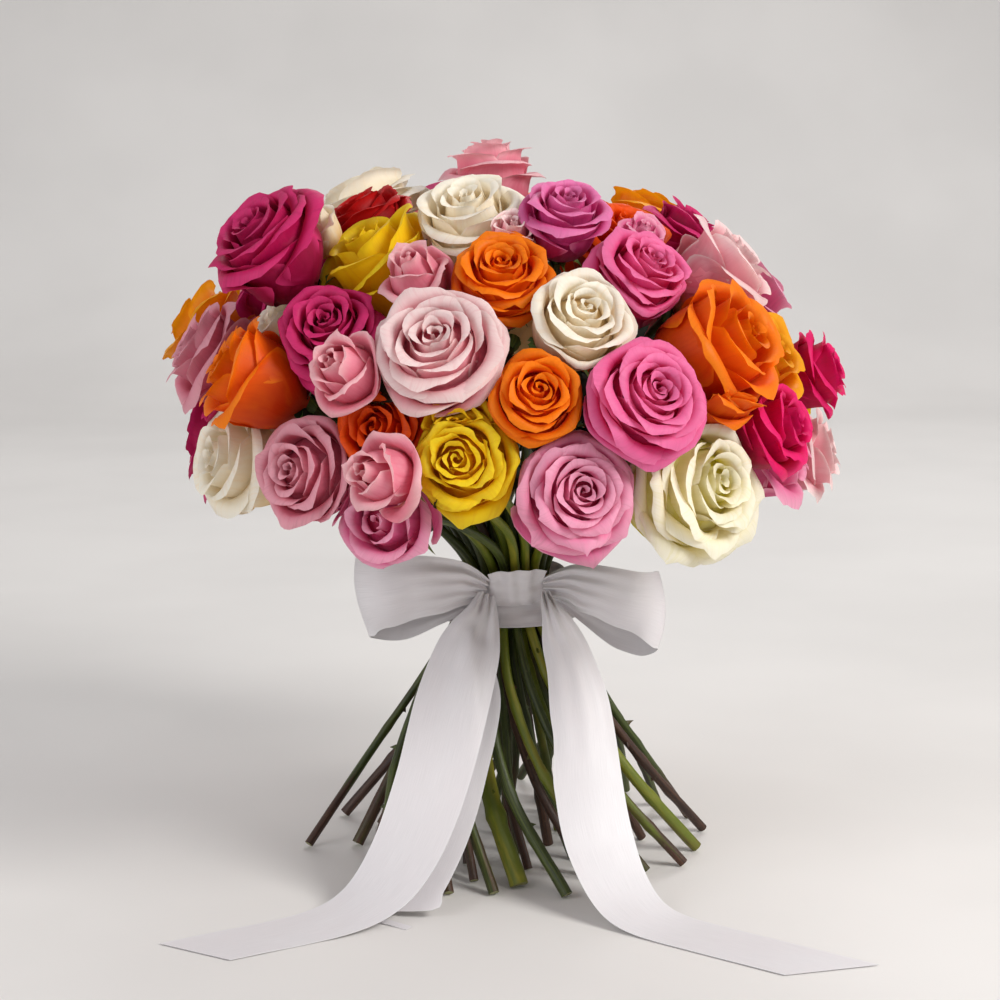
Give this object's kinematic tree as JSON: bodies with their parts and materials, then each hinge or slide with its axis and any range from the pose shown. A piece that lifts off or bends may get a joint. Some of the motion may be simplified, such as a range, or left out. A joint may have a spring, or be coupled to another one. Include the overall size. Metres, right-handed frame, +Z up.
{
  "type": "rose bouquet",
  "caption": "Hand-tied spiral bouquet of mixed roses in a dome, bound with twine and a white satin bow, standing on its cut stems.",
  "frame": {"origin": "centre of the middle stem's cut foot, on the surface that the bouquet stands on", "axes": "+Z up, -Y the front where the bow is, +X to the right of someone facing the front"},
  "size_m": [0.3739, 0.4036, 0.3948],
  "materials": {
    "blush": "matte, softly velvety rose petals",
    "white_pink": "matte, softly velvety rose petals",
    "cream": "matte, softly velvety rose petals",
    "lemon_cream": "matte, softly velvety rose petals",
    "yellow": "matte, softly velvety rose petals",
    "gold": "matte, softly velvety rose petals",
    "orange": "matte, softly velvety rose petals",
    "flame": "matte, softly velvety rose petals",
    "red": "matte, softly velvety rose petals",
    "pink": "matte, softly velvety rose petals",
    "hot_pink": "matte, softly velvety rose petals",
    "lilac": "matte, softly velvety rose petals",
    "mauve": "matte, softly velvety rose petals",
    "magenta": "matte, softly velvety rose petals",
    "crimson": "matte, softly velvety rose petals",
    "stem": "smooth green to red-brown bark with leaf scars and thorn stubs",
    "calyx": "matte green sepals",
    "satin": "white satin ribbon with a soft sheen",
    "twine": "natural jute twine"
  },
  "bodies": {
    "root": {"rose_01_blush": "blush", "rose_02_cream": "cream", "rose_03_red": "red", "rose_04_gold": "gold", "rose_05_lilac": "lilac", "rose_06_flame": "flame", "rose_07_magenta": "magenta", "rose_08_cream": "cream", "rose_09_hot_pink": "hot_pink", "rose_10_orange": "orange", "rose_11_magenta": "magenta", "rose_12_yellow": "yellow", "rose_13_blush": "blush", "rose_14_orange": "orange", "rose_15_hot_pink": "hot_pink", "rose_16_white_pink": "white_pink", "rose_17_cream": "cream", "rose_18_white_pink": "white_pink", "rose_19_cream": "cream", "rose_20_gold": "gold", "rose_21_pink": "pink", "rose_22_pink": "pink", "rose_23_cream": "cream", "rose_24_yellow": "yellow", "rose_25_magenta": "magenta", "rose_26_blush": "blush", "rose_27_orange": "orange", "rose_28_orange": "orange", "rose_29_hot_pink": "hot_pink", "rose_30_magenta": "magenta", "rose_31_blush": "blush", "rose_32_mauve": "mauve", "rose_33_orange": "orange", "rose_34_gold": "gold", "rose_35_crimson": "crimson", "rose_36_flame": "flame", "rose_37_crimson": "crimson", "rose_38_cream": "cream", "rose_39_mauve": "mauve", "rose_40_blush": "blush", "rose_41_pink": "pink", "rose_42_yellow": "yellow", "rose_43_pink": "pink", "rose_44_lemon_cream": "lemon_cream", "rose_45_pink": "pink", "rose_46_white_pink": "white_pink", "rose_47_yellow": "yellow", "rose_48_magenta": "magenta", "rose_49_orange": "orange", "rose_50_lemon_cream": "lemon_cream", "rose_51_pink": "pink", "rose_52_magenta": "magenta", "binding_twine": "twine", "ribbon_wrap": "satin", "bow_knot": "satin", "bow_loop_left": "satin", "bow_loop_right": "satin", "ribbon_tail_left": "satin", "ribbon_tail_left_rear": "satin", "ribbon_tail_right": "satin"}
  },
  "joints": []
}
